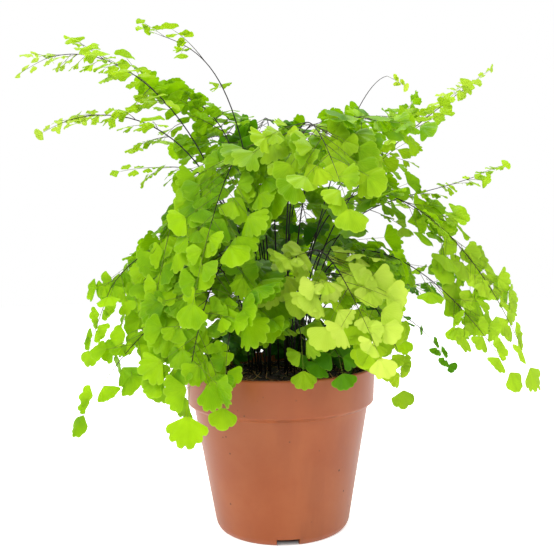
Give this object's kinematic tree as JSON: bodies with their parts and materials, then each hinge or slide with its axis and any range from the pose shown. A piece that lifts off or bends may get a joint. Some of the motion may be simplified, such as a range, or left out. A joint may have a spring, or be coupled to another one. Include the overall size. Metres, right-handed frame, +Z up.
{
  "type": "potted maidenhair fern",
  "caption": "Bushy maidenhair fern with lobed fan-shaped leaflets on thin dark stems, growing in a plain terracotta-coloured plastic nursery pot",
  "frame": {"origin": "centre of the pot's foot, on the surface that the pot stands on", "axes": "+Z up along the pot's axis, -Y towards the side seen from the front, +X to the right from there"},
  "size_m": [0.3116, 0.2253, 0.3231],
  "materials": {
    "pot_plastic": "satin injection-moulded polypropylene, fine scuffs and a little soil dust",
    "potting_soil": "rough, damp, nearly black peat with fibres",
    "leaf_fresh": "soft satin leaf, thin enough to let light through",
    "leaf_bright": "soft satin leaf, thin enough to let light through",
    "leaf_deep": "soft satin leaf in the shade of the others",
    "leaf_pale": "young pale leaf, thin enough to let light through",
    "stem_dark": "smooth, wiry, slightly glossy, nearly black"
  },
  "bodies": {
    "root": {"pot": "pot_plastic", "soil": "potting_soil", "frond_front_left_fall": "leaf_fresh", "frond_pale_front_right": "leaf_pale", "frond_right_arch": "leaf_fresh", "frond_left_fall": "leaf_fresh", "frond_centre_front": "leaf_bright", "frond_front_high": "leaf_fresh", "frond_front_low": "leaf_fresh", "frond_front_right_fall": "leaf_bright", "frond_second_right_arch": "leaf_fresh", "frond_far_left_fall": "leaf_fresh", "frond_low_left_fall": "leaf_fresh", "frond_long_left_spray": "leaf_bright", "frond_left_spray": "leaf_bright", "frond_top_spray": "leaf_bright", "frond_back_left_high": "leaf_fresh", "frond_left_shelf": "leaf_fresh", "frond_high_right": "leaf_bright", "frond_back_right_high": "leaf_fresh", "frond_right_wisp": "leaf_bright", "frond_canopy_right": "leaf_fresh", "frond_canopy_back_right": "leaf_fresh", "frond_canopy_back": "leaf_deep", "frond_canopy_back_left": "leaf_fresh", "frond_short_front": "leaf_bright", "frond_rim_shade": "leaf_deep", "frond_thin_right": "leaf_deep", "frond_low_right": "leaf_deep", "frond_young": "leaf_pale", "frond_back_right_fall": "leaf_fresh", "frond_back_fall_a": "leaf_fresh", "frond_back_fall_b": "leaf_fresh", "frond_back_left_fall": "leaf_fresh", "frond_left_back_fall": "leaf_fresh", "frond_back_low": "leaf_deep"}
  },
  "joints": []
}
